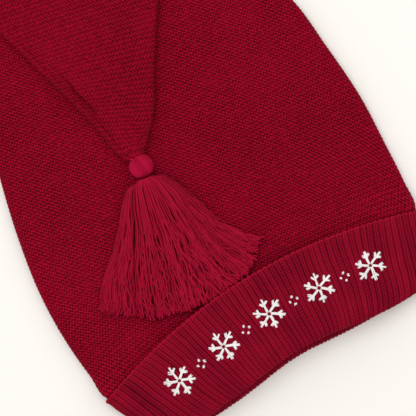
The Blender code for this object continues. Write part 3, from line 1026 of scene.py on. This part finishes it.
class CAP_OT_knob(bpy.types.Operator):
    """Winds the knob of the tassel"""

    bl_idname = "cap.knob"
    bl_label = "Knob"

    def execute(self, context):
        lon = np.linspace(0, 1, KNOB_THREADS * 5 + 1)[None, :]
        lat = np.linspace(-0.5, 0.5, 41)[:, None]
        strand = lon * KNOB_THREADS + 1.6 * np.sin(math.pi * lat)
        groove = np.abs(np.sin(math.pi * strand))
        swell = 1 - KNOB_GROOVE * (1 - groove**0.7) * np.cos(math.pi * lat) ** 0.4
        around, up = TAU * lon, math.pi * lat
        low, high = np.array(KNOB_BOX[0]), np.array(KNOB_BOX[1])
        height = high[2] - low[2]
        across = KNOB_WIDTH / 2 * np.cos(up) ** 0.9 * swell * np.cos(around)
        over = height / 2 * np.cos(up) ** 0.9 * swell * np.sin(around)
        along = KNOB_LENGTH / 2 * np.sin(up) + 0 * lon
        plan = on_tassel((low + high)[:2] / 2, along, across)
        points = np.concatenate([plan, (over + (low[2] + high[2]) / 2)[..., None]], -1)
        knit = np.stack([strand, lat + 0 * lon], -1)
        piece = grid_piece("wound_knob", points, knit)
        finish_knit(piece)
        thread = wound_thread(context.scene.cap_tassel.knob_colour)
        dress(piece, "wound_knob", thread, "wound_thread", "tassel_knob")
        return {"FINISHED"}


def skirt(column, t):
    """A column of the skirt's table at a share of its length."""
    return along_table(SKIRT, "reach", column, t)


def skirt_side(across, t):
    """Distance from the skirt's middle line, at a share of the way from there to its side."""
    wide = np.where(across < 0, skirt("left", t), skirt("right", t))
    return across * wide * SKIRT_WIDTH / 2


def strand_path(chance, spread, layer):
    """One strand of the tassel, from the neck to the hem. Layer is 0 below and 1 on top."""
    t = np.linspace(0, 1, STRAND_STEPS)
    start = KNOB_PLACE + TASSEL_ALONG * (KNOB_LENGTH / 2 + SEAT_GAP)
    lock = np.round(spread * LOCKS / 2 + 0.5) / LOCKS * 2 - 1 / LOCKS
    aim = spread + (lock - spread) * chance.uniform(*AIM_PULL) + chance.normal(0, AIM_SPREAD)
    aim = np.clip(aim, -1, 1)
    across = spread + (aim - spread) * t**0.8
    reach = SKIRT_LENGTH - HEM_CURVE * abs(aim) ** 2.3 - HEM_CORNER * rise(aim, HEM_CORNER_STARTS)
    reach = reach + chance.normal(HEM_MEAN, HEM_SPREAD)
    along = reach * t
    side = skirt_side(across, t) * (0.93 + 0.04 * t)
    for _ in range(4):
        waves = chance.uniform(0.6, 6.0)
        size = chance.normal(0, STRAND_STRAY) / (0.6 + 0.5 * waves)
        side = side + size * np.sin(TAU * (waves * t + chance.uniform(0, 1))) * ease(t * 1.6 - 0.1)
    curl = chance.normal(0, 1)
    end = rise(t, CURL_STARTS)
    side = side + STRAND_CURL * curl * end**1.5
    along = along - CURL_SHORTENS * abs(curl) * end**2
    plan = on_tassel(start, along, side)
    round_top = SKIRT_SIDE + (1 - SKIRT_SIDE) * np.sqrt(np.clip(1 - across**2, 0, 1))
    thick = skirt("top", t) * SKIRT_HEIGHT * round_top
    rest = front_height(plan[:, 0], plan[:, 1]) + STRAND_REST
    tied = 1 - ease(t / NECK_RUN)
    squeeze = 1 - 0.25 * tied
    pile = np.maximum(thick - SKIRT_INSET, SKIRT_LEAST)
    height = rest + NECK_LIFT * tied + layer * pile * squeeze
    height = height + 0.0003 * np.sin(TAU * (chance.uniform(1, 4) * t + chance.uniform(0, 1))) * t
    height = height + HEM_LIFT * abs(chance.normal(0, 0.6)) * end
    return np.column_stack([plan, height])


class CAP_OT_tassel(bpy.types.Operator):
    """Lays the strands of the tassel and ties them below the knob"""

    bl_idname = "cap.tassel"
    bl_label = "Tassel"

    def execute(self, context):
        settings = context.scene.cap_tassel
        chance = np.random.default_rng(24)
        maker = ThreadMaker("strand", 6, 28)
        frayed = rise(np.linspace(0, 1, maker.steps + 1), FRAY_STARTS)
        for _ in range(settings.strands):
            spread = np.sin(1.3 * chance.uniform(-1, 1)) / math.sin(1.3)
            layer = 1 - chance.uniform(0, 1) ** 1.6
            radius = settings.strand_radius * chance.uniform(0.88, 1.12)
            path = in_frame(strand_path(chance, spread, layer))
            # The tone is partly random and partly painted shade: strands in the lower layers are
            # darker.
            tone = 0.65 * chance.uniform(0, 1) + 0.35 * layer**1.5
            radii = radius * (1 + 0.5 * frayed)
            maker.lay(path, radii, tone=tone + 0.3 * frayed, blunt=STRAND_BLUNT)
        piece = maker.join()
        skirt_yarn = two_ply("tassel_thread", settings.strand_colour, THREAD_TWIST, 0.6, 0.85, 0.9)
        dress(piece, "tassel_strands", skirt_yarn, "tassel_thread", "tassel_skirt")

        tie = ThreadMaker("tie", 8, 70)
        middle = (KNOB_BOX[0].z + KNOB_BOX[1].z) / 2
        turn = np.linspace(0, TIE_TURNS * TAU, 90)
        along = TIE_PLACE + (turn / turn[-1] - 0.5) * TIE_WIDTH
        plan = on_tassel(KNOB_PLACE, along, TIE_RADIUS * np.cos(turn) - TIE_ASIDE)
        loop = np.column_stack([plan, middle + TIE_RADIUS * np.sin(turn)])
        tie.lay(in_frame(loop), TIE_THREAD, tone=0.9)
        across, back, over = np.array(LOOSE_END).T
        plan = on_tassel(KNOB_PLACE, -back, across)
        tie.lay(in_frame(np.column_stack([plan, middle + over])), LOOSE_THREAD, tone=1.0)
        piece = tie.join()
        tie_yarn = two_ply("tie_thread", settings.knob_colour, THREAD_TWIST)
        dress(piece, "neck_tie", tie_yarn, "wound_thread")
        return {"FINISHED"}


def ornament_row(x):
    """Height of the ornament's row on the front of the cuff, which follows the fold and the edge."""
    half = HALF_WIDTH * 0.9
    base = CUFF_TURN + ORNAMENT_ROW * (CUFF_DEPTH - CUFF_TURN)
    shift = (1 - ORNAMENT_ROW) * brim_shift(x, half, True)
    return float(base - CUFF_ARCH * ORNAMENT_ROW * bow(x) + shift)


class CAP_OT_ornament(bpy.types.Operator):
    """Stitches a row of small snowflakes on the cuff"""

    bl_idname = "cap.ornament"
    bl_label = "Ornament"

    def stitch(self, start, end, centre, slope):
        """One stitch: two threads side by side, whose ends dip into the knitting.

        Start and end are from the centre, in a plan that is turned by the slope.
        """
        settings = bpy.context.scene.cap_ornament
        along, across = toward(slope), toward(slope + math.pi / 2)
        run = np.subtract(end, start)
        long = np.linalg.norm(run)
        beside = np.array([-run[1], run[0]]) / long
        t = np.linspace(0, 1, 14)
        for side in (-1, 1):
            bend = side * (0.55 + 0.35 * self.chance.uniform()) * settings.thread_radius
            bend = bend + STITCH_BEND * np.sin(math.pi * t + self.chance.uniform(0, 2))
            flat = np.array(start) + t[:, None] * run + np.outer(bend, beside)
            plan = centre + np.outer(flat[:, 0], along) + np.outer(flat[:, 1], across)
            height = front_height(plan[:, 0], plan[:, 1]) + CUFF_STACK
            dip = np.minimum(t, 1 - t) * long
            sunk = STITCH_DIP * (1 - ease(dip / STITCH_DIP_RUN))
            height = height + settings.thread_radius * 0.5 - sunk
            path = in_frame(np.column_stack([plan, height]))
            radius = settings.thread_radius * self.chance.uniform(0.92, 1.08)
            self.maker.lay(path, radius, 0.8, self.chance.uniform())

    def centre_at(self, x):
        """A place in the ornament's row, and the slope of the row there."""
        step = 0.001
        y = ornament_row(x)
        return np.array([x, y]), math.atan2(ornament_row(x + step) - y, step)

    def execute(self, context):
        settings = context.scene.cap_ornament
        self.chance = np.random.default_rng(7)
        self.maker = ThreadMaker("stitch", 7, 12)
        first = -settings.spacing * (settings.flakes - 1) / 2
        for i in range(settings.flakes):
            centre, slope = self.centre_at(first + i * settings.spacing)
            turn = self.chance.uniform(-0.06, 0.06)
            for k in range(6):
                angle = math.pi / 2 + turn + k * math.pi / 3
                aim = toward(angle)
                arm = settings.arm * self.chance.uniform(0.94, 1.06)
                self.stitch(aim * FLAKE_HOLE, aim * arm, centre, slope)
                for lean in (-1, 1):
                    twig = aim * arm * TWIG_PLACE
                    tip = twig + TWIG_LENGTH * arm * toward(angle + lean * TWIG_ANGLE)
                    self.stitch(twig, tip, centre, slope)
            if i + 1 < settings.flakes:
                centre, slope = self.centre_at(first + (i + 0.5) * settings.spacing)
                inner, outer = RUNNING_STITCH
                for k in range(4):
                    aim = toward(k * math.pi / 2)
                    self.stitch(aim * inner, aim * outer, centre, slope)
        piece = self.maker.join()
        thread = two_ply("ornament_thread", settings.thread_colour, 300.0, 0.6, 0.12)
        dress(piece, "stitched_ornament", thread, "rib_knit")
        return {"FINISHED"}


class CAP_OT_stage(bpy.types.Operator):
    """Adds the floor, soft lights and a camera that looks straight down"""

    bl_idname = "cap.stage"
    bl_label = "Stage"

    def execute(self, context):
        settings = context.scene.cap_stage
        deselect()
        bpy.ops.mesh.primitive_plane_add(size=4, location=(0, 0, -0.0002))
        floor = context.object
        floor.name = "floor"
        floor.data.materials.append(paper(settings))

        right = Vector((VIEW_RIGHT[0], VIEW_RIGHT[1], 0)).normalized()
        up = Vector((-VIEW_RIGHT[1], VIEW_RIGHT[0], 0)).normalized()
        facing = Matrix((right, up, right.cross(up))).transposed().to_4x4()
        middle = Vector((VIEW_MIDDLE[0] + TO_FRAME[0], VIEW_MIDDLE[1] + TO_FRAME[1], 0))

        camera_data = bpy.data.cameras.new("camera")
        camera_data.sensor_width = 36
        camera_data.lens = 36 * settings.camera_height / settings.view_width
        camera = bpy.data.objects.new("camera", camera_data)
        context.scene.collection.objects.link(camera)
        above = middle + Vector((0, 0, settings.camera_height))
        camera.matrix_world = Matrix.Translation(above) @ facing
        context.scene.camera = camera

        for lamp in LAMPS:
            light_data = bpy.data.lights.new(lamp.name, "AREA")
            light_data.energy = settings.key_power * lamp.power
            light_data.size = lamp.size
            light = bpy.data.objects.new(lamp.name, light_data)
            context.scene.collection.objects.link(light)
            aside = right * lamp.right + up * lamp.up
            light.location = middle + aside + Vector((0, 0, lamp.height))
            light.rotation_euler = (middle - light.location).to_track_quat("-Z", "Y").to_euler()

        world = bpy.data.worlds.new("studio")
        world.use_nodes = True
        sky = world.node_tree.nodes["Background"]
        sky.inputs["Color"].default_value = (1, 0.99, 0.975, 1)
        sky.inputs["Strength"].default_value = settings.sky
        context.scene.world = world
        context.scene.view_settings.view_transform = "Standard"
        return {"FINISHED"}


class CAP_PT_panel(bpy.types.Panel):
    """Lists the steps that make the cap"""

    bl_idname = "CAP_PT_panel"
    bl_label = "Stocking Cap"
    bl_space_type = "VIEW_3D"
    bl_region_type = "UI"
    bl_category = "Stocking Cap"

    def draw(self, context):
        for settings, operators in SECTIONS:
            box = self.layout.box()
            group = getattr(context.scene, settings)
            for key in group.__annotations__:
                box.prop(group, key)
            for operator in operators:
                box.operator(operator.bl_idname)


GROUPS = {
    "cap_knit": KnitSettings,
    "cap_tassel": TasselSettings,
    "cap_ornament": OrnamentSettings,
    "cap_stage": StageSettings,
}
SECTIONS = (
    ("cap_knit", (CAP_OT_crown, CAP_OT_cuff)),
    ("cap_tassel", (CAP_OT_knob, CAP_OT_tassel)),
    ("cap_ornament", (CAP_OT_ornament,)),
    ("cap_stage", (CAP_OT_stage,)),
)
OPERATORS = [operator for _, operators in SECTIONS for operator in operators]
CLASSES = (*GROUPS.values(), *OPERATORS, CAP_PT_panel)


def register():
    for kind in CLASSES:
        bpy.utils.register_class(kind)
    for name, group in GROUPS.items():
        setattr(bpy.types.Scene, name, bpy.props.PointerProperty(type=group))


def unregister():
    for name in GROUPS:
        delattr(bpy.types.Scene, name)
    for kind in reversed(CLASSES):
        bpy.utils.unregister_class(kind)


def main():
    register()
    bpy.ops.cap.crown()
    bpy.ops.cap.cuff()
    bpy.ops.cap.knob()
    bpy.ops.cap.tassel()
    bpy.ops.cap.ornament()
    bpy.ops.cap.stage()


if __name__ == "__main__":
    main()
